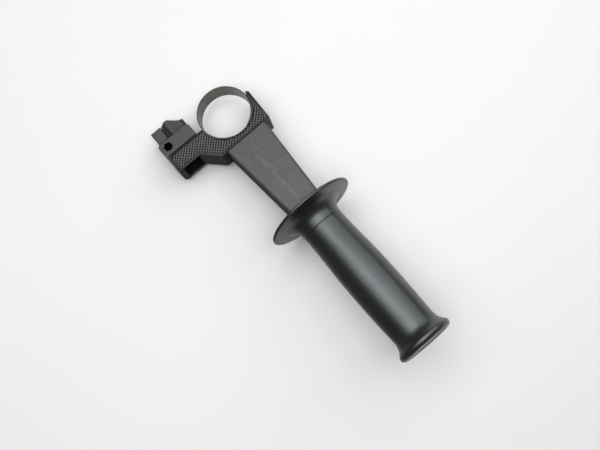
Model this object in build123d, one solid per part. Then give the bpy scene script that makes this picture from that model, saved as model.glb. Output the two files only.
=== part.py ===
from build123d import *
import math
import os

# Side handle of a hand-held rotary tool, in millimetres.
# The origin is the centre of the collar bore. +X runs along the handle to the end of the grip,
# +Z runs along the collar bore, and the depth rod lock stands on the -Y side.

# Gaps that several pieces share
hold_clearance = 0.05  # round what is pressed, riveted or screwed fast
thread_clearance = 0.05  # round the stud
near = 0.01  # edges and faces this close to a place lie on it

# Strap that goes round the collar of the tool
strap_bore_r = 20.4
strap_thickness = 1.0
strap_width = 15.0
strap_gap = 0.25  # between the strap and the saddle
leg_gap = 10.0  # between the inner faces of the two legs
lip_r = 2.4  # lip of the saddle that each leg bends round
leg_reach = 20.0  # legs behind the joint of saddle and arm

# Saddle, the moulding that the collar is drawn against
head_height = 24.0
saddle_floor = 5.55  # from the strap's seat to the joint with the arm
saddle_side = 23.0  # from the middle to each side, at the joint
horn_side = 24.2  # from the middle to the horn's side
horn_x = 0.0
horn_chamfer = 1.3
arc_chamfer = 0.35
joint_chamfer = 0.35
slot_clearance = 0.4  # at the strap's edges
peg_length = 5.0
peg_clearance = 0.25

# Wing of the saddle, which carries the depth rod lock
wing_x0 = 1.1
wing_width = 14.2
wing_end_y = -55.7
wing_notch_y = -34.7  # where the slanted side of the notch meets the wing
wing_corner_r = 3.8
rim_height = 0.8  # plain rim and lock housing, above the saddle's face
rim_width = 1.5
pad_edge = 0.7  # plain edge round the textured pad
pad_depth = 0.9
pad_corner_r = 3.5
pocket_y0 = -50.9
pocket_y1 = -35.8
pocket_half_height = 9.8
pocket_depth = 8.6
pocket_corner_r = 2.0

# Depth rod guide and its lock
rod_x = -5.5
rod_y = -49.2
rod_flats = 6.2  # hexagon hole for a 6 mm rod
rod_turn = 12.4  # turn of the hexagon about its own axis, in degrees
rod_mouth_chamfer = 0.4
housing_x0 = -10.9
housing_top_y = -26.7
housing_corner_r = 2.8
housing_edge_r = 0.7

button_x0 = -23.9
button_width = 9.0
button_half_height = 9.0
button_travel = 1.0
button_clearance = 0.2
button_edge_r = 1.0
button_face_r = 0.6
button_wall = 1.2  # beside the slot that holds the catch
button_tail = 0.4  # length inside the housing at rest

catch_thickness = 2.0
catch_arm_width = 2.4
catch_bar_width = 1.3
catch_bite = 0.35  # how far the catch reaches into the rod's hole
catch_root = 6.0  # length held inside the button
catch_clearance = 0.25

spring_r = 2.2
spring_wire_r = 0.3
spring_turns = 5
spring_hole_r = 2.8
spring_seat_x = 5.2

rest_x0 = -23.7
rest_shoulder_x = -16.7
rest_y0 = -44.45
rest_y1 = -27.4
rest_slant_y = -37.0
rest_chamfer = 1.0
rest_root_height = 9.2
rest_groove_height = 8.4
rest_groove_y = -43.2
rest_ridge_height = 11.4
rest_ridge_y = -40.8
rest_valley_height = 8.0
rest_valley_y = -32.0
rest_end_height = 9.6

# Screws from the pocket into the lock housing
screw_r = 1.75
screw_head_r = 3.5
screw_head_height = 2.3
screw_length = 14.0
screw_y = -40.2
screw_z = 4.7
screw_clearance = 0.2
screw_crown_r = 0.9
screw_recess_r = 1.3
screw_recess_width = 0.65
screw_recess_depth = 1.2

# Arm between the saddle and the guard
arm_end_gap = 0.6  # from the arm to the guard
arm_head_width = 36.8
arm_end_width = 26.7
arm_end_height = 22.6
arm_edge_r = 2.0
arm_end_edge_r = 3.2
arm_wall = 2.8
core_length = 52.0
core_y0 = 10.6
stud_hole_r = 4.5

# Yoke, rivets and stud that draw the strap in
yoke_length = 15.0
yoke_height = 14.0
yoke_chamfer = 1.0
yoke_clearance = 1.4  # from the joint to the yoke, with the strap let out
strap_in = 0.8  # from rest, where the strap stands a little open, to the closed clamp
strap_out = 2.2  # from rest to the strap let out
rivet_r = 2.0
rivet_head_r = 3.4
rivet_head_height = 1.2
rivet_setback = 3.5  # from the yoke's front end
rivet_z = 4.4
stud_r = 4.0
stud_hold = 9.0  # length of thread inside the yoke
stud_tail = 9.3  # beyond the nut
stud_chamfer = 0.8
chamber_clearance = 0.6

# Grip with its guard
guard_x = 100.4
guard_r = 35.5
guard_rim = 2.3
guard_rim_r = 1.0
guard_dish = 0.4
guard_rise = 0.9  # rear face of the guard, from its rim to the root
root_r = 11.0  # hollow curve from the guard to the neck
neck_r = 16.75
seam_setback = 16.5  # from the front of the guard
seam_bevel = 0.3
spigot_r = 14.2
spigot_length = 106.9  # from the seam
grip_bore_r = 4.7
rear_bore_r = 8.0
nut_flats = 13.0
nut_height = 6.5
nut_setback = 20.8  # from the front of the guard
nut_face_r = 6.1
nut_bevel_angle = 30.0

washer_r = 10.0
washer_hole_r = 4.3
washer_thickness = 1.5
washer_stand = 0.4  # stands out of the guard
washer_clearance = 0.3

# Sleeve of the grip
belly_x = 58.3  # from the seam
belly_r = 18.35
belly_rise = 0.35  # share of the rise to the belly that curves inwards
waist_x = 97.6  # from the seam
waist_r = 17.5
waist_fall = 0.9  # share of the fall to the waist that curves outwards
flare_length = 11.4  # from the waist to the crest of the bead
flare_r = 22.15
bead_r = 3.3
end_dish = 0.8  # end face, below the bead
end_step = 1.2

# Worked out from the sizes above
strap_outer_r = strap_bore_r + strap_thickness
strap_mid_r = strap_bore_r + strap_thickness / 2
seat_r = strap_outer_r + strap_gap
seat_x = strap_in
joint_x = seat_x + seat_r + saddle_floor
head_half = head_height / 2
rim_half = head_half + rim_height
bend_r = lip_r + strap_gap + strap_thickness / 2
bend_y = leg_gap / 2 + strap_thickness / 2 + bend_r
bend_x = math.sqrt((strap_mid_r + bend_r) ** 2 - bend_y**2)
bend_angle = math.atan2(bend_y, bend_x)
leg_end_x = joint_x + leg_reach
slot_half = leg_gap / 2 + strap_thickness + strap_gap
slot_half_height = strap_width / 2 + slot_clearance
wing_x1 = wing_x0 + wing_width
yoke_x = joint_x + strap_out + yoke_clearance
rivet_x = yoke_x + rivet_setback
rivet_reach = leg_gap / 2 + strap_thickness + rivet_head_height
arm_end_x = guard_x - arm_end_gap
seam_x = guard_x + seam_setback
spigot_end_x = seam_x + spigot_length
nut_seat_x = guard_x + nut_setback
stud_end_x = nut_seat_x + nut_height + stud_tail


def plate(points, half_height):
    """A flat outline on the XY plane, drawn out to both sides of it."""
    return extrude(make_face(Polyline(*points, close=True)), half_height, both=True)


def bar_along_x(radius, length, x, y=0.0, z=0.0):
    """A round bar along X that starts at x."""
    return Plane.YZ.offset(x) * Pos(y, z) * extrude(Circle(radius), length)


def polar(radius, angle):
    return (radius * math.cos(angle), radius * math.sin(angle))


def mirrored(point):
    return (point[0], -point[1])


def strap():
    """One band: round the collar, out round the two lips, and back along the stud as two legs."""
    inner_turn = bend_r + strap_thickness / 2
    outer_turn = bend_r - strap_thickness / 2
    half_way = (bend_angle + math.pi * 1.5 + math.pi) / 2

    def bend_point(radius):
        offset_x, offset_y = polar(radius, half_way)
        return (bend_x + offset_x, bend_y + offset_y)

    def half_line(ring_r, turn_r, leg_y):
        ring_end = polar(ring_r, bend_angle)
        turn = ThreePointArc(ring_end, bend_point(turn_r), (bend_x, leg_y))
        return ring_end, turn, Line((bend_x, leg_y), (leg_end_x, leg_y))

    edges = []
    for ring_r, turn_r, leg_y in (
        (strap_bore_r, inner_turn, leg_gap / 2),
        (strap_outer_r, outer_turn, leg_gap / 2 + strap_thickness),
    ):
        ring_end, turn, leg = half_line(ring_r, turn_r, leg_y)
        edges += [turn, leg, mirror(turn, Plane.XZ), mirror(leg, Plane.XZ)]
        edges.append(ThreePointArc(ring_end, (-ring_r, 0), mirrored(ring_end)))
    for side in (1, -1):
        leg_in = (leg_end_x, side * leg_gap / 2)
        leg_out = (leg_end_x, side * (leg_gap / 2 + strap_thickness))
        edges.append(Line(leg_in, leg_out))
    band = extrude(make_face(edges), strap_width / 2, both=True)
    for z in (rivet_z, -rivet_z):
        hole = Plane.XZ * Pos(rivet_x, z) * Circle(rivet_r + hold_clearance)
        band -= extrude(hole, leg_gap, both=True)
    return band


def strap_slot():
    """Mouth between the two lips of the saddle, and the slot behind it for the legs."""
    start_x, start_y = polar(seat_r, bend_angle)
    lip_start = (seat_x + start_x, start_y)
    lip_end = (seat_x + bend_x, slot_half)
    half_way = (bend_angle + math.pi * 2.5) / 2
    offset_x, offset_y = polar(lip_r, half_way)
    lip_mid = (seat_x + bend_x + offset_x, bend_y + offset_y)
    lip = ThreePointArc(lip_start, lip_mid, lip_end)
    side = Line(lip_end, (joint_x, slot_half))
    back = Line((joint_x, slot_half), (joint_x, -slot_half))
    mouth = Line(lip_start, mirrored(lip_start))
    face = make_face([lip, side, back, mirror(side, Plane.XZ), mirror(lip, Plane.XZ), mouth])
    return extrude(face, slot_half_height, both=True)


def head_outline():
    """Saddle and wing seen along the collar bore."""
    points = [
        (horn_x, horn_side / 2),
        (horn_x, horn_side - horn_chamfer),
        (horn_x + horn_chamfer, horn_side),
        (joint_x, saddle_side),
        (joint_x, -saddle_side),
        (wing_x1, wing_notch_y),
        (wing_x1, wing_end_y),
        (wing_x0, wing_end_y),
        (wing_x0, -saddle_side / 2),
    ]
    face = make_face(Polyline(*points, close=True))
    corner = face.vertices().sort_by_distance((wing_x1, wing_end_y))[0]
    return fillet(corner, wing_corner_r)


def pad_outline():
    """Textured pad: the outline of the head, set in by its plain edge and by the rim."""
    edge = pad_edge
    zone = offset(head_outline(), -edge, kind=Kind.INTERSECTION)
    zone -= Pos(seat_x, 0) * Circle(seat_r + edge)
    low_y = wing_end_y + rim_width
    length = horn_side - low_y
    zone &= Pos(wing_x0 + joint_x / 2, low_y + length / 2) * Rectangle(joint_x, length)
    corner = zone.vertices().sort_by_distance((wing_x0 + edge, low_y))[0]
    return fillet(corner, pad_corner_r)


def rim_bar():
    """Plain rim along the end of the wing, as high as the lock housing."""
    low_y = wing_end_y
    bar = Pos(wing_x0 + wing_width / 2, low_y + rim_width / 2) * Rectangle(wing_width, rim_width)
    bar &= head_outline()
    return extrude(bar, rim_half, both=True)


def saddle():
    body = extrude(head_outline(), head_half, both=True)
    body -= Pos(seat_x, 0) * Cylinder(seat_r, head_height * 2)
    arcs = body.edges().filter_by(GeomType.CIRCLE)
    arcs = arcs.filter_by(lambda e: abs(e.radius - seat_r) < near)
    body = chamfer(arcs, arc_chamfer)
    back = body.edges().filter_by(lambda e: abs(e.center().X - joint_x) < near)
    body = chamfer(back, joint_chamfer)
    body += rim_bar()
    pad = pad_outline()
    for side in (1, -1):
        body -= Pos(0, 0, side * (head_half - pad_depth / 2)) * extrude(pad, pad_depth / 2, both=True)
    body -= strap_slot()
    body -= wing_pocket()
    body -= bar_along_x(spring_hole_r, spring_seat_x - wing_x0, wing_x0, rod_y)
    for z in (screw_z, -screw_z):
        hole_r = screw_r + screw_clearance
        body -= bar_along_x(hole_r, wing_width, wing_x0, screw_y, z)
    for side in (1, -1):
        body += locating_peg(side)
    return body


def wing_pocket():
    """Pocket in the side of the wing, which the two screws are driven from."""
    width = pocket_y1 - pocket_y0
    mouth = RectangleRounded(width, 2 * pocket_half_height, pocket_corner_r)
    plane = Plane.YZ.offset(wing_x1 - pocket_depth)
    return plane * Pos((pocket_y0 + pocket_y1) / 2, 0) * extrude(mouth, pocket_depth * 2)


def core_points(side, grow=0.0, length=core_length):
    """Hollow in the arm beside the strap's chamber, open towards the saddle."""
    slope = (arm_head_width - arm_end_width) / 2 / (arm_end_x - joint_x)
    outer_y = arm_head_width / 2 - arm_wall
    return [
        (joint_x, side * (core_y0 - grow)),
        (joint_x, side * (outer_y + grow)),
        (joint_x + length, side * (outer_y - slope * length + grow)),
        (joint_x + length, side * (core_y0 - grow)),
    ]


def locating_peg(side):
    points = core_points(side, grow=-peg_clearance, length=peg_length)
    return plate(points, head_half - arm_wall - peg_clearance)


def arm():
    """Tapered neck with a rounded edge that grows towards the guard, and a round hole for the stud."""
    bevel = joint_chamfer
    sections = [
        (joint_x, arm_head_width - 2 * bevel, head_height - 2 * bevel, arm_edge_r - bevel),
        (joint_x + bevel, arm_head_width, head_height, arm_edge_r),
        (arm_end_x, arm_end_width, arm_end_height, arm_end_edge_r),
    ]
    outlines = [Plane.YZ.offset(x) * RectangleRounded(*size) for x, *size in sections]
    body = loft(outlines, ruled=True)
    for side in (1, -1):
        body -= plate(core_points(side), head_half - arm_wall)
    chamber_half = rivet_reach + chamber_clearance
    chamber_end = leg_end_x + strap_in + chamber_clearance
    chamber = [
        (joint_x, chamber_half),
        (chamber_end, chamber_half),
        (chamber_end, -chamber_half),
        (joint_x, -chamber_half),
    ]
    body -= plate(chamber, slot_half_height)
    body -= bar_along_x(stud_hole_r, arm_end_x, joint_x)
    return body


def lock_housing():
    """Block with the hexagon guide for the depth rod, and the fixed thumb rest beside the button."""
    width = wing_x0 - housing_x0
    length = housing_top_y - wing_end_y
    centre = Pos(housing_x0 + width / 2, wing_end_y + length / 2)
    block = extrude(centre * Rectangle(width, length), rim_half, both=True)
    block = fillet(block.edges().filter_by(Axis.Z).group_by(Axis.X)[0], housing_corner_r)
    for side in (Axis.Z, -Axis.Z):
        outer = block.faces().sort_by(side)[-1].edges()
        outer = outer.filter_by(lambda e: e.center().X < wing_x0 - near)
        block = fillet(outer, housing_edge_r)
    block += thumb_rest()
    hexagon = RegularPolygon(rod_flats / 2, 6, major_radius=False, rotation=rod_turn)
    block -= Pos(rod_x, rod_y) * extrude(hexagon, rim_half * 2, both=True)
    for side in (1, -1):
        rim = block.edges().filter_by(lambda e, s=side: abs(e.center().Z - s * rim_half) < near)
        rim = rim.filter_by(lambda e: math.hypot(e.center().X - rod_x, e.center().Y - rod_y) < rod_flats)
        block = chamfer(rim, rod_mouth_chamfer)
    block -= button_opening()
    block -= catch_channel()
    bar_end_x = rod_x + rod_flats / 2 - catch_bite + catch_bar_width
    block -= bar_along_x(spring_hole_r, wing_x0 - bar_end_x, bar_end_x, rod_y)
    for z in (screw_z, -screw_z):
        hole_r = screw_r + hold_clearance
        reach = screw_length - (wing_x1 - pocket_depth - wing_x0) + screw_clearance
        block -= bar_along_x(hole_r, reach, wing_x0 - reach, screw_y, z)
    return block


def button_opening():
    depth = button_tail + button_travel + button_clearance
    low = Plane.YZ.offset(housing_x0 - depth)
    width = button_width + 2 * button_clearance
    height = 2 * (button_half_height + button_clearance)
    mouth = RectangleRounded(width, height, button_edge_r)
    return low * Pos(rod_y, 0) * extrude(mouth, 2 * depth)


def catch_channel():
    """Flat channel behind the button for the hooked catch, closed by the wing."""
    low_y = rod_y - button_width / 2 - button_clearance
    high_y = rod_y + button_width / 2 + catch_arm_width / 2 + catch_clearance
    start_x = housing_x0 + button_tail + button_clearance
    points = [(start_x, low_y), (wing_x0, low_y), (wing_x0, high_y), (start_x, high_y)]
    return plate(points, catch_thickness / 2 + catch_clearance)


def thumb_rest():
    """Fixed rest beside the button: its plan, cut to a wavy section that is the same on both faces."""
    plan = [
        (housing_x0 + housing_corner_r, rest_y0),
        (rest_x0 + rest_chamfer, rest_y0),
        (rest_x0, rest_y0 + rest_chamfer),
        (rest_x0, rest_slant_y),
        (rest_shoulder_x, rest_y1 + rest_chamfer),
        (rest_shoulder_x + rest_chamfer, rest_y1),
        (housing_x0 + housing_corner_r, rest_y1),
    ]
    body = plate(plan, rim_half)
    wave = [
        (rest_y0, rest_root_height),
        (rest_groove_y, rest_groove_height),
        (rest_ridge_y, rest_ridge_height),
        (rest_valley_y, rest_valley_height),
        (rest_y1, rest_end_height),
    ]
    top = Spline(*wave)
    ends = [Line((y, z), (y, -z)) for y, z in (wave[0], wave[-1])]
    section = make_face([top, mirror(top, Plane.XZ), *ends])
    length = housing_x0 + housing_corner_r - rest_x0
    return body & (Plane.YZ.offset(rest_x0) * extrude(section, length))


def release_button():
    """Pad that the thumb pushes, with a slot towards the thumb rest that holds the catch."""
    length = housing_x0 + button_tail - button_x0
    centre = Pos(button_x0 + length / 2, rod_y)
    body = centre * Box(length, button_width, 2 * button_half_height)
    body = fillet(body.edges().filter_by(Axis.X), button_edge_r)
    outer = body.faces().sort_by(Axis.X)[0]
    body = fillet(outer.edges(), button_face_r)
    slot_x = button_x0 + length - catch_root - hold_clearance
    slot_y = rod_y - button_width / 2 + button_wall - hold_clearance
    slot = [
        (slot_x, slot_y),
        (button_x0 + length, slot_y),
        (button_x0 + length, rod_y + button_width / 2),
        (slot_x, rod_y + button_width / 2),
    ]
    return body - plate(slot, catch_thickness / 2 + hold_clearance)


def catch_plate():
    """Stamped hook: its root sits in the button, and its bar reaches behind the depth rod."""
    tail_x = housing_x0 + button_tail
    low_y = rod_y - button_width / 2 + button_clearance
    high_y = rod_y + button_width / 2 + catch_arm_width / 2
    arm_y = high_y - catch_arm_width
    root_low_y = rod_y - button_width / 2 + button_wall
    root_high_y = rod_y + button_width / 2 - button_clearance
    shoulder_x = tail_x + catch_clearance + button_clearance
    bar_x = rod_x + rod_flats / 2 - catch_bite
    points = [
        (tail_x - catch_root, root_low_y),
        (tail_x - catch_root, root_high_y),
        (shoulder_x, root_high_y),
        (shoulder_x, high_y),
        (bar_x + catch_bar_width, high_y),
        (bar_x + catch_bar_width, low_y),
        (bar_x, low_y),
        (bar_x, arm_y),
        (tail_x, arm_y),
        (tail_x, root_low_y),
    ]
    return plate(points, catch_thickness / 2)


def button_spring():
    """Coil spring between the bar of the catch and its seat in the wing."""
    start_x = rod_x + rod_flats / 2 - catch_bite + catch_bar_width
    height = spring_seat_x - start_x - 2 * spring_wire_r - 2 * hold_clearance
    path = Helix(height / spring_turns, height, spring_r)
    start = path.position_at(0)
    profile = Plane(origin=start, z_dir=path.tangent_at(0)) * Circle(spring_wire_r)
    coil = sweep(profile, path=path, is_frenet=True)
    plane = Plane(origin=(start_x + spring_wire_r + hold_clearance, rod_y, 0), z_dir=(1, 0, 0))
    return plane * coil


def housing_screws():
    """Two pan head screws, driven from the pocket into the lock housing."""
    seat_x = wing_x1 - pocket_depth
    screws = []
    for z in (screw_z, -screw_z):
        shank = bar_along_x(screw_r, screw_length, seat_x - screw_length, screw_y, z)
        head = bar_along_x(screw_head_r, screw_head_height, seat_x, screw_y, z)
        crown = head.edges().filter_by(lambda e: e.center().X > seat_x + screw_head_height / 2)
        head = fillet(crown, screw_crown_r)
        top_x = seat_x + screw_head_height - screw_recess_depth
        for angle in (0, 90):
            bar = Rectangle(screw_recess_r * 2, screw_recess_width, rotation=angle)
            head -= Plane.YZ.offset(top_x) * Pos(screw_y, z) * extrude(bar, screw_recess_depth)
        screws.append(shank + head)
    return Compound(screws)


def strap_yoke():
    """Steel block between the two legs, tapped for the stud."""
    block = Pos(yoke_x + yoke_length / 2, 0) * Box(yoke_length, leg_gap, yoke_height)
    block = chamfer(block.edges().filter_by(Axis.Y), yoke_chamfer)
    hold_x = yoke_x + yoke_length - stud_hold
    block -= bar_along_x(stud_r + thread_clearance, stud_hold, hold_x)
    for z in (rivet_z, -rivet_z):
        hole = Plane.XZ * Pos(rivet_x, z) * Circle(rivet_r + hold_clearance)
        block -= extrude(hole, leg_gap, both=True)
    return block


def strap_rivets():
    """Two rivets through the legs and the yoke, with a flat head at each end."""
    rivets = []
    for z in (rivet_z, -rivet_z):
        plane = Plane.XZ * Pos(rivet_x, z)
        shank = plane * extrude(Circle(rivet_r), leg_gap / 2 + strap_thickness, both=True)
        head = extrude(Circle(rivet_head_r), rivet_head_height)
        head = fillet(head.edges().group_by(Axis.Z)[-1], rivet_head_height / 2)
        head = Pos(0, 0, leg_gap / 2 + strap_thickness) * head
        rivets.append(shank + plane * head + plane * mirror(head, Plane.XY))
    return Compound(rivets)


def clamp_stud():
    start_x = yoke_x + yoke_length - stud_hold
    stud = bar_along_x(stud_r, stud_end_x - start_x, start_x)
    return chamfer(stud.edges().filter_by(GeomType.CIRCLE), stud_chamfer)


def grip_core():
    """Guard, neck and the tube inside the sleeve, turned about the handle's axis."""
    rim_x = guard_x + guard_dish
    back_x = rim_x + guard_rim
    root_x = back_x + guard_rise
    floor_x = guard_x + washer_thickness - washer_stand
    recess_r = washer_r + washer_clearance
    nut_end_x = nut_seat_x + nut_height + hold_clearance
    bevel = seam_bevel
    turn = math.sqrt(0.5)
    front = Polyline(
        (nut_seat_x, grip_bore_r),
        (floor_x, grip_bore_r),
        (floor_x, recess_r),
        (guard_x, recess_r),
        (rim_x, guard_r - guard_rim_r),
    )
    front_rim = ThreePointArc(
        (rim_x, guard_r - guard_rim_r),
        (rim_x + guard_rim_r * (1 - turn), guard_r - guard_rim_r * (1 - turn)),
        (rim_x + guard_rim_r, guard_r),
    )
    edge = Line((rim_x + guard_rim_r, guard_r), (back_x - guard_rim_r, guard_r))
    back_rim = ThreePointArc(
        (back_x - guard_rim_r, guard_r),
        (back_x - guard_rim_r * (1 - turn), guard_r - guard_rim_r * (1 - turn)),
        (back_x, guard_r - guard_rim_r),
    )
    back = Line((back_x, guard_r - guard_rim_r), (root_x, neck_r + root_r))
    hollow = ThreePointArc(
        (root_x, neck_r + root_r),
        (root_x + root_r * (1 - turn), neck_r + root_r * (1 - turn)),
        (root_x + root_r, neck_r),
    )
    rear = Polyline(
        (root_x + root_r, neck_r),
        (seam_x - bevel, neck_r),
        (seam_x, neck_r - bevel),
        (seam_x, spigot_r),
        (spigot_end_x, spigot_r),
        (spigot_end_x, rear_bore_r),
        (nut_end_x, rear_bore_r),
        (nut_end_x, grip_bore_r),
        (nut_seat_x, grip_bore_r),
    )
    profile = make_face([front, front_rim, edge, back_rim, back, hollow, rear])
    core = revolve(profile, Axis.X)
    pocket = RegularPolygon(nut_flats / 2 + hold_clearance, 6, major_radius=False)
    core -= Plane.YZ.offset(nut_seat_x) * extrude(pocket, nut_height + hold_clearance)
    return core


def double_bend(start, end, share):
    """Two arcs that meet without a corner and run along the axis at both ends."""
    length, rise = end[0] - start[0], end[1] - start[1]
    angle = 2 * math.atan2(rise, length)
    middle = (start[0] + share * length, start[1] + share * rise)
    slope = (math.cos(angle), math.sin(angle))
    return [TangentArc(start, middle, tangent=(1, 0)), TangentArc(middle, end, tangent=slope)]


def grip_sleeve():
    """Barrel-shaped sleeve that ends in a hollow flare and a thick bead, closed at its end."""
    inner_r = spigot_r + hold_clearance
    start = (seam_x + seam_bevel, neck_r)
    belly = (seam_x + belly_x, belly_r)
    waist = (seam_x + waist_x, waist_r)
    crest_x = waist[0] + flare_length
    end_x = crest_x + bead_r
    ring_r = flare_r - bead_r
    outline = double_bend(start, belly, belly_rise) + double_bend(belly, waist, waist_fall)
    flare_curve_r = (flare_length**2 + (ring_r - waist_r) ** 2 - bead_r**2) / (2 * (flare_r - waist_r))
    angle = math.asin(flare_length / (flare_curve_r + bead_r))
    lip = (crest_x - bead_r * math.sin(angle), ring_r + bead_r * math.cos(angle))
    outline.append(TangentArc(waist, lip, tangent=(1, 0)))
    outline.append(ThreePointArc(lip, (crest_x, flare_r), (end_x, ring_r)))
    inside = Polyline(
        (end_x, ring_r),
        (end_x - end_dish, ring_r - end_step),
        (end_x - end_dish, 0),
        (spigot_end_x + hold_clearance, 0),
        (spigot_end_x + hold_clearance, inner_r),
        (seam_x, inner_r),
        (seam_x, neck_r - seam_bevel),
        start,
    )
    return revolve(make_face([*outline, inside]), Axis.X)


def clamp_nut():
    """Hexagon nut with its corners turned down at both ends."""
    start_x = nut_seat_x + hold_clearance / 2
    end_x = start_x + nut_height
    hexagon = RegularPolygon(nut_flats / 2, 6, major_radius=False)
    corner_r = nut_flats / math.sqrt(3)
    bevel = (corner_r - nut_face_r) * math.tan(math.radians(nut_bevel_angle))
    turned = [
        (start_x, 0),
        (start_x, nut_face_r),
        (start_x + bevel, corner_r),
        (end_x - bevel, corner_r),
        (end_x, nut_face_r),
        (end_x, 0),
    ]
    blank = revolve(make_face(Polyline(*turned, close=True)), Axis.X)
    body = blank & (Plane.YZ.offset(start_x) * extrude(hexagon, nut_height))
    return body - bar_along_x(stud_r + thread_clearance, nut_height, start_x)


def thrust_washer():
    ring = Circle(washer_r) - Circle(washer_hole_r)
    return Plane.YZ.offset(guard_x - washer_stand) * extrude(ring, washer_thickness)


parts = {
    "saddle": saddle,
    "arm": arm,
    "lock_housing": lock_housing,
    "housing_screws": housing_screws,
    "release_button": release_button,
    "catch_plate": catch_plate,
    "button_spring": button_spring,
    "strap": strap,
    "strap_yoke": strap_yoke,
    "strap_rivets": strap_rivets,
    "clamp_stud": clamp_stud,
    "grip_core": grip_core,
    "grip_sleeve": grip_sleeve,
    "clamp_nut": clamp_nut,
    "thrust_washer": thrust_washer,
}

os.makedirs("parts", exist_ok=True)
for name, make in parts.items():
    export_step(make(), f"parts/{name}.step")
    print(name)
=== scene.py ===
import math
import bpy
import numpy as np
from mathutils import Matrix, Vector


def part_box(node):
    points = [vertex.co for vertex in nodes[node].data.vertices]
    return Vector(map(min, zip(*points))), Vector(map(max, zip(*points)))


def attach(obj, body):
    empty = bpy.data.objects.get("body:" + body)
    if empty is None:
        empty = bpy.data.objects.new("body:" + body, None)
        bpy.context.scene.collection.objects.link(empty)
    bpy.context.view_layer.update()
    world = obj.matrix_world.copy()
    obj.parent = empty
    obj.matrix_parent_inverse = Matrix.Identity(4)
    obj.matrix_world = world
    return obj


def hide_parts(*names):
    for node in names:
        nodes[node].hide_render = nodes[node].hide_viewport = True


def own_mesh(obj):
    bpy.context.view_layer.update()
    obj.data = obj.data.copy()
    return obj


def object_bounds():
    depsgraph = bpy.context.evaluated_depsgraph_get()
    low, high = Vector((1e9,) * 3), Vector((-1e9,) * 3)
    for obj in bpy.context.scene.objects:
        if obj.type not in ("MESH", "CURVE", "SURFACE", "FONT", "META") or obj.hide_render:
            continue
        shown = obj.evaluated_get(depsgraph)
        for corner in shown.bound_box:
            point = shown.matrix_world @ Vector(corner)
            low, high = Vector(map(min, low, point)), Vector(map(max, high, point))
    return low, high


# Side handle with a steel strap, seen from above on a pale floor. Lengths are in metres.
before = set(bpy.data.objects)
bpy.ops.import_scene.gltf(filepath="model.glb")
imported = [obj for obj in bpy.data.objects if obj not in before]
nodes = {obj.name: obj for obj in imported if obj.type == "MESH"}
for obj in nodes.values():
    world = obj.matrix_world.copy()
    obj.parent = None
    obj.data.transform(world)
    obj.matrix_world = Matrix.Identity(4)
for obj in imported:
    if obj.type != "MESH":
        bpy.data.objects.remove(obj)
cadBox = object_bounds()
print("frame loaded,", len(nodes), "nodes")


# Surfaces from numpy arrays

def meshPiece(name, points, quads, others=(), sharpAngle=40.0):
    # points is an array of corners, quads an array of four corner numbers a face,
    # others a list of longer faces
    mesh = bpy.data.meshes.new(name)
    mesh.from_pydata(points.tolist(), [], quads.tolist() + [list(face) for face in others])
    mesh.update()
    mesh.shade_smooth()
    mesh.set_sharp_from_angle(angle=math.radians(sharpAngle))
    piece = bpy.data.objects.new(name, mesh)
    bpy.context.scene.collection.objects.link(piece)
    return piece


def gridQuads(rows, columns):
    # a face between each pair of neighbouring rows and columns
    number = np.arange(rows * columns).reshape(rows, columns)
    corners = (number[:-1, :-1], number[:-1, 1:], number[1:, 1:], number[1:, :-1])
    return np.stack(corners, axis=-1).reshape(-1, 4)


# Materials

def newMaterial(name):
    material = bpy.data.materials.new(name)
    material.use_nodes = True
    tree = material.node_tree
    shader = tree.nodes["Principled BSDF"]
    place = tree.nodes.new("ShaderNodeTexCoord")
    return material, tree, shader, place.outputs["Object"]


def noiseOn(tree, place, size, detail=2.0, stretch=(1, 1, 1)):
    # noise whose features are about size metres across, longer along an axis whose stretch is below 1
    mapping = tree.nodes.new("ShaderNodeMapping")
    mapping.inputs["Scale"].default_value = stretch
    tree.links.new(place, mapping.inputs["Vector"])
    noise = tree.nodes.new("ShaderNodeTexNoise")
    noise.inputs["Scale"].default_value = 1 / size
    noise.inputs["Detail"].default_value = detail
    tree.links.new(mapping.outputs["Vector"], noise.inputs["Vector"])
    return noise.outputs["Fac"]


def spread(tree, value, low, high, fromLow=0.3, fromHigh=0.7):
    # the value's middle range, drawn out to low ... high
    ramp = tree.nodes.new("ShaderNodeMapRange")
    ramp.inputs["From Min"].default_value = fromLow
    ramp.inputs["From Max"].default_value = fromHigh
    ramp.inputs["To Min"].default_value = low
    ramp.inputs["To Max"].default_value = high
    tree.links.new(value, ramp.inputs["Value"])
    return ramp.outputs["Result"]


def maths(tree, operation, *values):
    node = tree.nodes.new("ShaderNodeMath")
    node.operation = operation
    for socket, value in zip(node.inputs, values):
        if isinstance(value, bpy.types.NodeSocket):
            tree.links.new(value, socket)
        else:
            socket.default_value = value
    return node.outputs["Value"]


def axisOf(tree, place, axis):
    apart = tree.nodes.new("ShaderNodeSeparateXYZ")
    tree.links.new(place, apart.inputs["Vector"])
    return apart.outputs[axis]


def insideBox(tree, place, low, high):
    # 1 between two opposite corners, 0 elsewhere
    inside = 1.0
    for axis, start, end in zip("XYZ", low, high):
        within = maths(tree, "COMPARE", axisOf(tree, place, axis), (start + end) / 2, (end - start) / 2)
        inside = maths(tree, "MULTIPLY", within, inside)
    return inside


def mixColour(tree, factor, first, second):
    mix = tree.nodes.new("ShaderNodeMix")
    mix.data_type = "RGBA"
    tree.links.new(factor, mix.inputs["Factor"])
    for socket, colour in ((mix.inputs[6], first), (mix.inputs[7], second)):
        if isinstance(colour, bpy.types.NodeSocket):
            tree.links.new(colour, socket)
        else:
            socket.default_value = (*colour, 1)
    return mix.outputs[2]


def bumpFrom(tree, height, strength, distance, before=None):
    bump = tree.nodes.new("ShaderNodeBump")
    bump.inputs["Strength"].default_value = strength
    bump.inputs["Distance"].default_value = distance
    tree.links.new(height, bump.inputs["Height"])
    if before is not None:
        tree.links.new(before, bump.inputs["Normal"])
    return bump.outputs["Normal"]


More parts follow.
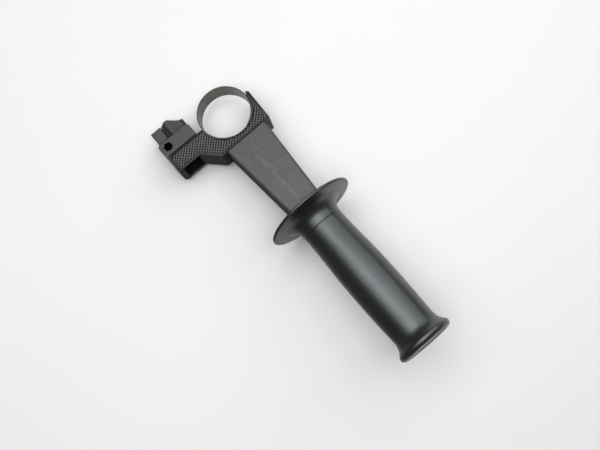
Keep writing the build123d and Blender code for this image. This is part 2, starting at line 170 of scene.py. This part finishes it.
edges = {
    "samples": 6,
    "levels": (0.80, 0.995),  # how much the two normals agree, from an edge to a plain face
}


def softEdges(tree, radius):
    # normals that turn over rounded edges, and a mask that is 1 on those edges
    bevel = tree.nodes.new("ShaderNodeBevel")
    bevel.samples = edges["samples"]
    bevel.inputs["Radius"].default_value = radius
    geometry = tree.nodes.new("ShaderNodeNewGeometry")
    dot = tree.nodes.new("ShaderNodeVectorMath")
    dot.operation = "DOT_PRODUCT"
    tree.links.new(bevel.outputs["Normal"], dot.inputs[0])
    tree.links.new(geometry.outputs["Normal"], dot.inputs[1])
    return bevel.outputs["Normal"], spread(tree, dot.outputs["Value"], 1, 0, *edges["levels"])


# Sizes of the marks that all mouldings share
marks = {
    "patchDetail": 3.0,
    "edgePatchSize": 0.004,
    "edgePatchShare": (0.1, 0.6),
    "scuffSize": 0.0022,
    "scuffDetail": 5.0,
    "scuffStretch": (0.6, 1.4, 1.0),
    "scuffLevels": (0.50, 0.76),
    "hollowSamples": 8,
    "knurlLevels": (0.35, 0.95),  # share of the knurl's height, from fully painted shade at the bottom to plain
    "plainSpecular": 0.5,
    "wearSize": 0.003,
    "bumpStrength": 0.5,
    "mottleSize": 0.0028,
    "mottleDetail": 3.0,
    "mottleStretch": (0.55, 1.0, 1.0),
}

mouldedPlastic = {
    "colour": (0.042, 0.043, 0.045),
    "paler": (0.052, 0.053, 0.056),
    "wearAndEdgeHighlight": (0.11, 0.11, 0.115),
    # the next four set the painted shade: its strength in joint boxes, the reach and tones of the
    # hollows, and its near-black colour
    "jointDepth": 0.9,
    "hollows": 0.004,
    "hollowTones": (0.30, 0.97),
    "groove": (0.004, 0.004, 0.004),
    "sheen": 1.58,
    "tint": (1.0, 1.0, 1.0),
    "mottle": 0.0,
    "roughness": (0.42, 0.50),
    "grain": 0.0008,
    "grainDepth": 0.00006,
    "patches": 0.012,
    "edgeRadius": 0.00035,
}

streak = {
    "colour": (0.15, 0.15, 0.155),
    "start": 0.046,  # x of its two ends
    "end": 0.093,
    "startY": -0.0031,
    "endY": -0.0006,
    "halfWidth": 0.0008,
    "wander": 0.0026,
    "wanderSize": 0.018,
    "breakSize": 0.004,
    "breakDetail": 4.0,
    "breakLevels": (0.34, 0.64),
    "strength": 0.42,
}


def rubbedStreak(tree, place):
    # a thin broken line along the arm where it has rubbed on something
    start, end = streak["start"], streak["end"]
    x, y = axisOf(tree, place, "X"), axisOf(tree, place, "Y")
    centre = spread(tree, x, streak["startY"], streak["endY"], start, end)
    aside = maths(tree, "SUBTRACT", noiseOn(tree, place, streak["wanderSize"]), 0.5)
    wander = maths(tree, "MULTIPLY", aside, streak["wander"])
    line = maths(tree, "SUBTRACT", y, maths(tree, "ADD", centre, wander))
    near = spread(tree, maths(tree, "ABSOLUTE", line), 1, 0, 0, 2 * streak["halfWidth"])
    inReach = maths(tree, "COMPARE", x, (start + end) / 2, (end - start) / 2)
    breaks = noiseOn(tree, place, streak["breakSize"], streak["breakDetail"])
    broken = spread(tree, breaks, 0, streak["strength"], *streak["breakLevels"])
    return maths(tree, "MULTIPLY", maths(tree, "MULTIPLY", near, inReach), broken)


def deepMask(tree, place, look, grooved, joints):
    # 1 in the dark joints between mouldings and where shade is painted: in the pocket and hole, in
    # hollows and at the bottom of the knurl, or None on a plain piece
    deep = [maths(tree, "MULTIPLY", insideBox(tree, place, *box), look["jointDepth"]) for box in joints]
    if look["hollows"]:
        openness = tree.nodes.new("ShaderNodeAmbientOcclusion")
        openness.samples = marks["hollowSamples"]
        openness.inputs["Distance"].default_value = look["hollows"]
        deep.append(spread(tree, openness.outputs["AO"], 1, 0, *look["hollowTones"]))
    if grooved:
        height = tree.nodes.new("ShaderNodeAttribute")
        height.attribute_name = "height"
        deep.append(spread(tree, height.outputs["Fac"], 1, 0, *marks["knurlLevels"]))
    deepest = deep.pop(0) if deep else None
    for mask in deep:
        deepest = maths(tree, "MAXIMUM", deepest, mask)
    return deepest


def plasticMaterial(name, look, scuffs=0.0, grooved=False, joints=()):
    # matt moulded plastic: fine spark-eroded grain, slow patches of tone, paler edges in patches that are
    # part wear and part painted highlight
    material, tree, shader, place = newMaterial(name)
    tone = spread(tree, noiseOn(tree, place, look["patches"], marks["patchDetail"]), 0, 1)
    colour = mixColour(tree, tone, look["colour"], look["paler"])
    edgeNormal, edge = softEdges(tree, look["edgeRadius"])
    rubAndHighlightPatches = spread(tree, noiseOn(tree, place, marks["edgePatchSize"]), *marks["edgePatchShare"])
    # paler edges in patches: part rubbed wear, part painted edge highlight
    colour = mixColour(tree, maths(tree, "MULTIPLY", edge, rubAndHighlightPatches), colour, look["wearAndEdgeHighlight"])
    if scuffs:
        specks = noiseOn(tree, place, marks["scuffSize"], marks["scuffDetail"], marks["scuffStretch"])
        specks = spread(tree, specks, 0, scuffs, *marks["scuffLevels"])
        colour = mixColour(tree, specks, colour, look["wearAndEdgeHighlight"])
        colour = mixColour(tree, rubbedStreak(tree, place), colour, streak["colour"])
    deep = deepMask(tree, place, look, grooved, joints)
    if deep is not None:
        # painted shade, over the dark joint lines: joints, pocket, hole, hollows and knurl grooves get a
        # near-black colour and no specular
        colour = mixColour(tree, deep, colour, look["groove"])
        specular = spread(tree, deep, marks["plainSpecular"], 0, 0, 1)
        tree.links.new(specular, shader.inputs["Specular IOR Level"])
    tree.links.new(colour, shader.inputs["Base Color"])
    shader.inputs["IOR"].default_value = look["sheen"]
    shader.inputs["Specular Tint"].default_value = (*look["tint"], 1)
    wear = noiseOn(tree, place, marks["wearSize"])
    tree.links.new(spread(tree, wear, *look["roughness"]), shader.inputs["Roughness"])
    grain = noiseOn(tree, place, look["grain"])
    normal = bumpFrom(tree, grain, marks["bumpStrength"], look["grainDepth"], edgeNormal)
    if look["mottle"]:
        mottle = noiseOn(tree, place, marks["mottleSize"], marks["mottleDetail"], marks["mottleStretch"])
        normal = bumpFrom(tree, mottle, marks["bumpStrength"], look["mottle"], normal)
    tree.links.new(normal, shader.inputs["Normal"])
    return material


paddedPlastic = {
    **mouldedPlastic,
    "hollows": 0.0,
    "colour": (0.100, 0.101, 0.105),
    "paler": (0.135, 0.136, 0.142),
    # near-black painted shade at the bottom of the knurl
    "groove": (0.012, 0.012, 0.012),
}

satinPlastic = {
    "colour": (0.011, 0.012, 0.013),
    "paler": (0.016, 0.017, 0.019),
    "wearAndEdgeHighlight": (0.07, 0.07, 0.075),
    "sheen": 1.78,
    "tint": (0.93, 0.985, 1.0),
    "hollows": 0.0,
    "mottle": 0.00006,
    "roughness": (0.29, 0.40),
    "grain": 0.0006,
    "grainDepth": 0.000012,
    "patches": 0.02,
    "edgeRadius": 0.0003,
}

steelMarks = {
    "patches": 0.009,
    "patchDetail": 3.0,
    "lineWidth": 0.0004,
    "lineStrength": 0.25,
    "lineDepth": 0.00001,
    "edgeRadius": 0.00015,
}

strapSteel = {
    "colour": (0.088, 0.084, 0.076),
    "paler": (0.132, 0.127, 0.116),
    "roughness": (0.32, 0.44),
}


def steelMaterial(name, look, lines):
    # rolled or turned steel: fine lines whose direction is set by lines, over slow patches of tone
    material, tree, shader, place = newMaterial(name)
    shader.inputs["Metallic"].default_value = 1.0
    tone = spread(tree, noiseOn(tree, place, steelMarks["patches"], steelMarks["patchDetail"]), 0, 1)
    tree.links.new(mixColour(tree, tone, look["colour"], look["paler"]), shader.inputs["Base Color"])
    fineLines = noiseOn(tree, place, steelMarks["lineWidth"], stretch=lines)
    tree.links.new(spread(tree, fineLines, *look["roughness"]), shader.inputs["Roughness"])
    edgeNormal, _ = softEdges(tree, steelMarks["edgeRadius"])
    normal = bumpFrom(tree, fineLines, steelMarks["lineStrength"], steelMarks["lineDepth"], edgeNormal)
    tree.links.new(normal, shader.inputs["Normal"])
    return material


zincSteel = {
    "colour": (0.50, 0.50, 0.49),
    "paler": (0.62, 0.62, 0.60),
    "roughness": (0.28, 0.40),
}

blackSteel = {
    "colour": (0.035, 0.035, 0.036),
    "paler": (0.055, 0.055, 0.056),
    "roughness": (0.35, 0.50),
}

# Joints between mouldings, and the pocket and hole, which get painted shade inside
joint = {
    "halfWidth": 0.00035,
    "past": 0.0013,  # from the arm's face to just past the saddle's
    "wingCorner": 0.003,
    "buttonX": -0.0109,
    "pocketLow": (0.0060, -0.0512, -0.0102),
    "pocketHigh": (0.0149, -0.0355, 0.0102),
    "holeLow": (-0.0091, -0.0528, -0.0122),
    "holeHigh": (-0.0019, -0.0456, 0.0122),
}


def jointBox(x, node, cornerRadius=0.0):
    # the groove that is seen where a node meets its neighbour at x
    half = joint["halfWidth"]
    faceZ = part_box("arm")[1].z + joint["past"]
    low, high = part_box(node)
    return (x - half, low.y + cornerRadius, -faceZ), (x + half, high.y, faceZ)


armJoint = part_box("arm")[0].x
armSeam = jointBox(armJoint, "arm")
bodySeamsAndPaintedShade = (
    armSeam,
    jointBox(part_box("lock_housing")[1].x, "lock_housing", joint["wingCorner"]),
    jointBox(joint["buttonX"], "release_button"),
    (joint["pocketLow"], joint["pocketHigh"]),
    (joint["holeLow"], joint["holeHigh"]),
)
bodyPlastic = plasticMaterial("body_plastic_look", mouldedPlastic, joints=bodySeamsAndPaintedShade)
padPlastic = plasticMaterial("pad_plastic_look", paddedPlastic, grooved=True)
armPlastic = plasticMaterial("arm_plastic_look", mouldedPlastic, scuffs=0.45, joints=(armSeam,))
gripPlastic = plasticMaterial("grip_plastic_look", satinPlastic)
bandSteel = steelMaterial("strap_steel_look", strapSteel, (0.03, 0.03, 1.0))
turnedSteel = steelMaterial("turned_steel_look", zincSteel, (1.0, 0.1, 0.1))
screwSteel = steelMaterial("screw_steel_look", blackSteel, (1.0, 0.1, 0.1))

looks = {
    "saddle": bodyPlastic,
    "arm": armPlastic,
    "lock_housing": bodyPlastic,
    "housing_screws": screwSteel,
    "release_button": bodyPlastic,
    "catch_plate": turnedSteel,
    "button_spring": turnedSteel,
    "strap": bandSteel,
    "strap_yoke": turnedSteel,
    "strap_rivets": turnedSteel,
    "clamp_stud": turnedSteel,
    "grip_core": gripPlastic,
    "grip_sleeve": gripPlastic,
    "clamp_nut": turnedSteel,
    "thrust_washer": turnedSteel,
}
for nodeName, material in looks.items():
    nodes[nodeName].data.materials.clear()
    nodes[nodeName].data.materials.append(material)
print("materials made")


# Textured pads in the two recesses of the saddle

pad = {
    "plainEdge": 0.0007,
    "seatGap": 0.00025,  # between the closed strap and its seat
    "seatX": 0.0008,
    "recess": 0.0009,
    "sunk": 0.0001,  # underside of the pad below the recess's floor
    "grooveWidth": 0.0006,  # round the pad, where its points fall away
    "grooveStart": 0.5,  # share of that width that lies at the bottom
    "pitch": 0.00198,  # between two grooves
    "turn": 44.2,  # degrees from the handle's axis to the first set of waves
    "crossTurn": -45.3,
    "relief": 0.0008,
    "slope": 0.62,  # share of half a pitch that a groove's wall takes
    "crossDepth": 0.62,  # depth of the cross grooves as a share of the others'
    "valley": 0.10,  # share of the relief at the bottom of a groove
    "cornerRadius": 0.0035,
    "rim": 0.0015,
    "wingCorner": 0.0038,
    "wingStart": 0.0011,
    "wingWidth": 0.0142,
    "notchStart": -0.0347,
    "jointSide": 0.0230,  # half width of the saddle where it meets the arm
    "hornChamfer": 0.0013,
    "topEdge": 0.00095,  # from the horn's side to the last row
    "narrowest": 0.0004,  # length of the shortest row
    "rows": 400,
    "columns": 140,
    "sharpAngle": 30.0,
}


def padEdges(y):
    # lowest and highest x of the pad at each y, from the seat's arc, the wing's sides,
    # the slanted notch and the horn
    edge = pad["plainEdge"]
    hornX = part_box("saddle")[0].x
    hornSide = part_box("saddle")[1].y
    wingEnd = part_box("saddle")[0].y
    seatRadius = -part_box("strap")[0].x + pad["seatGap"] + edge
    seatX = pad["seatX"]
    wingX1 = pad["wingStart"] + pad["wingWidth"]
    seat = np.where(np.abs(y) < seatRadius, seatX + np.sqrt(np.clip(seatRadius**2 - y**2, 0, None)), 0)
    start = np.where(y < 0, pad["wingStart"], hornX) + edge
    horn = y - hornSide + hornX + pad["hornChamfer"] + edge * math.sqrt(2)
    lowY = wingEnd + pad["rim"]
    into = np.clip(pad["cornerRadius"] - (y - lowY), 0, pad["cornerRadius"])
    corner = start + pad["cornerRadius"] - np.sqrt(pad["cornerRadius"] ** 2 - into**2)
    low = np.maximum.reduce([seat, start, corner, np.where(y > 0, horn, start)])
    run, rise = armJoint - wingX1, -pad["jointSide"] - pad["notchStart"]
    slant = wingX1 + (run * (y - pad["notchStart"]) - edge * math.hypot(run, rise)) / rise
    outerR = pad["wingCorner"] - edge
    outerX, outerY = wingX1 - pad["wingCorner"], wingEnd + pad["wingCorner"]
    rounding = np.clip(outerY - y, 0, outerR)
    wing = np.where(y < outerY, outerX + np.sqrt(outerR**2 - rounding**2), wingX1 - edge)
    sideX = hornX + pad["hornChamfer"]
    side = sideX + (armJoint - sideX) * (hornSide - edge - y) / (hornSide - pad["jointSide"])
    high = np.minimum.reduce([np.maximum(slant, wing), side, np.full_like(y, armJoint - edge)])
    return low, np.maximum(high, low + pad["narrowest"])


def knurlHeight(x, y):
    # square points: the lower of two waves that cross at right angles, cut off flat at the top
    levels = []
    for turn, depth in ((pad["turn"], 1.0), (pad["crossTurn"], pad["crossDepth"])):
        along = x * math.cos(math.radians(turn)) + y * math.sin(math.radians(turn))
        phase = np.mod(along / pad["pitch"], 1.0)
        wave = np.clip((1 - np.abs(2 * phase - 1)) / pad["slope"], 0, 1)
        levels.append(1 - depth * (1 - wave))
    return pad["valley"] + (1 - pad["valley"]) * np.minimum(*levels)


def texturedPad(name, side):
    # rows run along y, and in each row x goes from one edge to the other;
    # the underside is a strip of the same rows
    low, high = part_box("saddle")[0].y + pad["rim"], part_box("saddle")[1].y - pad["topEdge"]
    y = np.linspace(low, high, pad["rows"])
    startX, endX = padEdges(y)
    across = np.linspace(0, 1, pad["columns"])
    x = startX[:, None] + (endX - startX)[:, None] * across
    yGrid = np.repeat(y[:, None], pad["columns"], axis=1)
    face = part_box("arm")[1].z
    floor = face - pad["recess"]
    toSide = np.minimum(x - startX[:, None], endX[:, None] - x)
    toEnd = np.minimum(yGrid - low, high - yGrid)
    inside = np.clip(np.minimum(toSide, toEnd) / pad["grooveWidth"] - pad["grooveStart"], 0, 1)
    share = knurlHeight(x, yGrid) * inside
    z = floor + pad["relief"] * share
    under = floor - pad["sunk"]
    top = np.stack([x, yGrid, z], axis=-1).reshape(-1, 3)
    leftUnder = np.stack([startX, y, np.full_like(y, under)], axis=-1)
    rightUnder = np.stack([endX, y, np.full_like(y, under)], axis=-1)
    points = np.concatenate([top, leftUnder, rightUnder])
    points[:, 2] *= side
    rows, columns = pad["rows"], pad["columns"]
    number = np.arange(rows * columns).reshape(rows, columns)
    left = rows * columns + np.arange(rows)
    right = left + rows
    quads = gridQuads(rows, columns)
    leftWall = np.stack([number[1:, 0], left[1:], left[:-1], number[:-1, 0]], axis=-1)
    rightWall = np.stack([number[:-1, -1], right[:-1], right[1:], number[1:, -1]], axis=-1)
    base = np.stack([left[1:], right[1:], right[:-1], left[:-1]], axis=-1)
    quads = np.concatenate([quads, leftWall, rightWall, base])
    ends = [
        [left[0], right[0], *number[0, ::-1]],
        [*number[-1], right[-1], left[-1]],
    ]
    if side < 0:
        quads = quads[:, ::-1]
        ends = [end[::-1] for end in ends]
    piece = meshPiece(name, points, quads, ends, pad["sharpAngle"])
    height = piece.data.attributes.new("height", "FLOAT", "POINT")
    height.data.foreach_set("value", np.concatenate([share.ravel(), np.zeros(2 * rows)]))
    piece.data.materials.append(padPlastic)
    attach(piece, "head")


texturedPad("textured_pad_top", 1)
texturedPad("textured_pad_bottom", -1)
print("textured pads made")


# Rib on the thumb rest's side that the button slides along

rib = {
    "low": (-0.0225, -0.04465, -0.0078),
    "high": (-0.0112, -0.0442, 0.0078),
}


def boxPiece(name, low, high):
    xs, ys, zs = zip(low, high)
    corners = np.array([(x, y, z) for x in xs for y in ys for z in zs])
    quads = np.array([(0, 1, 3, 2), (4, 6, 7, 5), (0, 4, 5, 1), (2, 3, 7, 6), (0, 2, 6, 4), (1, 5, 7, 3)])
    return meshPiece(name, corners, quads)


buttonRib = boxPiece("button_rib", rib["low"], rib["high"])
buttonRib.data.materials.append(bodyPlastic)
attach(buttonRib, "head")
print("button rib made")


# The button's spring, a copy of the solid one's mesh on the head, shown in place of the solid one


def shorteningSpring():
    coil = bpy.data.objects.new("button_spring_coil", nodes["button_spring"].data.copy())
    bpy.context.scene.collection.objects.link(coil)
    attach(coil, "head")
    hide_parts("button_spring")
    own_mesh(coil)


shorteningSpring()
print("button spring made")


# Camera, fitted to the strap ring, the guard and the grip in a frame of 600 by 450

camera = {
    "turn": 48.81,  # degrees, the handle's axis below the picture's horizontal
    "lean": 14.87,  # degrees, the grip's end nearer than the collar
    "roll": 3.5,  # degrees, about the handle's axis
    "focalPixels": 820.0,
    "pixelsPerMetre": 1300.0,
    "originPixel": (226.17, 115.96),
    "frame": (600, 450),
    "sensor": 36.0,
    "clipStart": 0.01,
}


def cameraAxes():
    # rows are the camera's right, up and back directions in the part's frame
    turn, lean, roll = (math.radians(camera[key]) for key in ("turn", "lean", "roll"))
    across = np.array([math.cos(turn), -math.sin(turn), 0])
    upward = np.array([math.sin(turn), math.cos(turn), 0])
    towards = np.array([0, 0, 1.0])
    xAxis = math.cos(lean) * across + math.sin(lean) * towards
    normal = -math.sin(lean) * across + math.cos(lean) * towards
    yAxis = math.cos(roll) * upward - math.sin(roll) * normal
    zAxis = math.cos(roll) * normal + math.sin(roll) * upward
    return np.stack([xAxis, yAxis, zAxis], axis=1)


def makeCamera():
    axes = cameraAxes()
    distance = camera["focalPixels"] / camera["pixelsPerMetre"]
    offX = (camera["originPixel"][0] - camera["frame"][0] / 2) * distance / camera["focalPixels"]
    offY = -(camera["originPixel"][1] - camera["frame"][1] / 2) * distance / camera["focalPixels"]
    data = bpy.data.cameras.new("camera")
    data.sensor_width = camera["sensor"]
    data.lens = camera["focalPixels"] * camera["sensor"] / camera["frame"][0]
    data.clip_start = camera["clipStart"]
    view = bpy.data.objects.new("camera", data)
    bpy.context.scene.collection.objects.link(view)
    place = Matrix(axes.T.tolist()).to_4x4()
    place.translation = Vector((axes.T @ np.array([-offX, -offY, distance])).tolist())
    view.matrix_world = place
    bpy.context.scene.camera = view
    return axes


axes = makeCamera()
print("camera made")


# Pale floor, world and lamps

softBoxes = {
    "middle_box": {
        "lean": 2.0,  # degrees from the view's line, square to the handle
        "slide": -12.0,  # degrees from the view's line, along the handle towards its grip
        "size": (1.0, 0.60),  # along the handle and square to it
        "distance": 0.94,
        "power": 3.2,
    },
    "wide_box": {
        "lean": 2.0,
        "slide": -12.0,
        "size": (1.0, 1.5),
        "distance": 1.0,
        "power": 9.0,
    },
    "side_box": {
        "lean": 55.0,
        "slide": -12.0,
        "size": (1.0, 0.75),
        "distance": 1.0,
        "power": 3.2,
    },
}

studio = {
    "floorColour": (0.88, 0.88, 0.87),
    "floorShade": 0.98,  # of that colour, in slow patches
    "floorPatches": 0.25,
    "floorRoughness": 0.7,
    "darkBounce": (0.12, 0.12, 0.12),  # painted shade: what the object gets back from the floor on its lower left, dark as if shaded there
    "paleBounce": (0.85, 0.85, 0.85),  # and on its upper right
    "bounceChange": (-0.09, -0.02),  # y where the one turns into the other
    "armShade": -0.075,  # how far the change is moved along y beside the arm
    "armStarts": (0.008, 0.024),  # x over which that begins
    "armEnds": (0.095, 0.105),  # and x over which it ends
    "floorSize": 6.0,
    "floorGap": 0.0003,
    "rimSetback": 0.0012,  # from the front of the guard to the middle of its rim
    "restZ": -0.0120,  # lowest point of the thumb rest's end
    "worldColour": (0.86, 0.87, 0.89),
    "worldStrength": 0.07,
    "roomStrength": 0.9,  # of the room that only the camera sees
    "farFloor": (0.45, 1.1),  # metres from the collar
}


def makeFloor():
    # the handle rests on the rim of its guard and on its thumb rest, so the floor slopes under it
    half = studio["floorSize"] / 2
    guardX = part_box("grip_core")[0].x + studio["rimSetback"]
    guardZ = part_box("grip_core")[0].z
    restX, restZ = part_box("lock_housing")[0].x, studio["restZ"]
    slope = (guardZ - restZ) / (guardX - restX)
    across = np.array([-half, half])
    heights = restZ + slope * (across - restX) - studio["floorGap"]
    corners = np.array([
        (-half, -half, heights[0]),
        (half, -half, heights[1]),
        (half, half, heights[1]),
        (-half, half, heights[0]),
    ])
    floor = meshPiece("floor", corners, np.array([[0, 1, 2, 3]]))
    material, tree, shader, place = newMaterial("floor_look")
    shade = spread(tree, noiseOn(tree, place, studio["floorPatches"]), 0, 1)
    pale = studio["floorColour"]
    colour = mixColour(tree, shade, pale, tuple(studio["floorShade"] * value for value in pale))
    path = tree.nodes.new("ShaderNodeLightPath")
    # painted shade on the floor: rays other than the camera's see it dark on the lower left and beside
    # the arm, pale on the upper right
    pastNotch = spread(tree, axisOf(tree, place, "X"), 0, studio["armShade"], *studio["armStarts"])
    besideArm = spread(tree, axisOf(tree, place, "X"), studio["armShade"], 0, *studio["armEnds"])
    besideArm = maths(tree, "MAXIMUM", pastNotch, besideArm)
    side = maths(tree, "ADD", axisOf(tree, place, "Y"), besideArm)
    side = spread(tree, side, 0, 1, *studio["bounceChange"])
    bounce = mixColour(tree, side, studio["darkBounce"], studio["paleBounce"])
    colour = mixColour(tree, path.outputs["Is Camera Ray"], bounce, colour)
    # far off, the floor that the camera sees turns into the pale room behind it
    reach = tree.nodes.new("ShaderNodeVectorMath")
    reach.operation = "LENGTH"
    tree.links.new(place, reach.inputs[0])
    far = spread(tree, reach.outputs["Value"], 0, 1, *studio["farFloor"])
    far = maths(tree, "MULTIPLY", far, path.outputs["Is Camera Ray"])
    colour = mixColour(tree, far, colour, (0, 0, 0))
    shader.inputs["Emission Color"].default_value = (*studio["worldColour"], 1)
    glow = maths(tree, "MULTIPLY", far, studio["roomStrength"])
    tree.links.new(glow, shader.inputs["Emission Strength"])
    tree.links.new(colour, shader.inputs["Base Color"])
    shader.inputs["Roughness"].default_value = studio["floorRoughness"]
    floor.data.materials.append(material)


def makeWorld():
    # the camera sees a white room, and the object is lit by a softer grey one
    world = bpy.data.worlds.new("studio")
    bpy.context.scene.world = world
    world.use_nodes = True
    tree = world.node_tree
    back = tree.nodes["Background"]
    path = tree.nodes.new("ShaderNodeLightPath")
    strength = tree.nodes.new("ShaderNodeMapRange")
    strength.inputs["To Min"].default_value = studio["worldStrength"]
    strength.inputs["To Max"].default_value = studio["roomStrength"]
    tree.links.new(path.outputs["Is Camera Ray"], strength.inputs["Value"])
    tree.links.new(strength.outputs["Result"], back.inputs["Strength"])
    back.inputs["Color"].default_value = (*studio["worldColour"], 1)


def makeSoftBox(name, box):
    # a soft box that hangs square to the handle and looks at the middle of it
    turn, lean, slide = (math.radians(value) for value in (camera["turn"], box["lean"], box["slide"]))
    along = np.array([math.cos(turn), -math.sin(turn), 0])
    square = np.array([math.sin(turn), math.cos(turn), 0])
    back = np.array([0, 0, 1.0])
    away = math.cos(slide) * (math.cos(lean) * back + math.sin(lean) * square) + math.sin(slide) * along
    away = Vector((axes.T @ away).tolist()).normalized()
    upright = Vector((axes.T @ square).tolist())
    upright = (upright - away * upright.dot(away)).normalized()
    data = bpy.data.lights.new(name, "AREA")
    data.shape = "RECTANGLE"
    data.size, data.size_y = box["size"]
    data.energy = box["power"]
    lamp = bpy.data.objects.new(name, data)
    bpy.context.scene.collection.objects.link(lamp)
    place = Matrix((upright.cross(away), upright, away)).transposed().to_4x4()
    place.translation = (cadBox[0] + cadBox[1]) / 2 + away * box["distance"]
    lamp.matrix_world = place


makeFloor()
makeWorld()
for boxName, box in softBoxes.items():
    makeSoftBox(boxName, box)
bpy.context.scene.view_settings.view_transform = "Standard"
print("studio made")
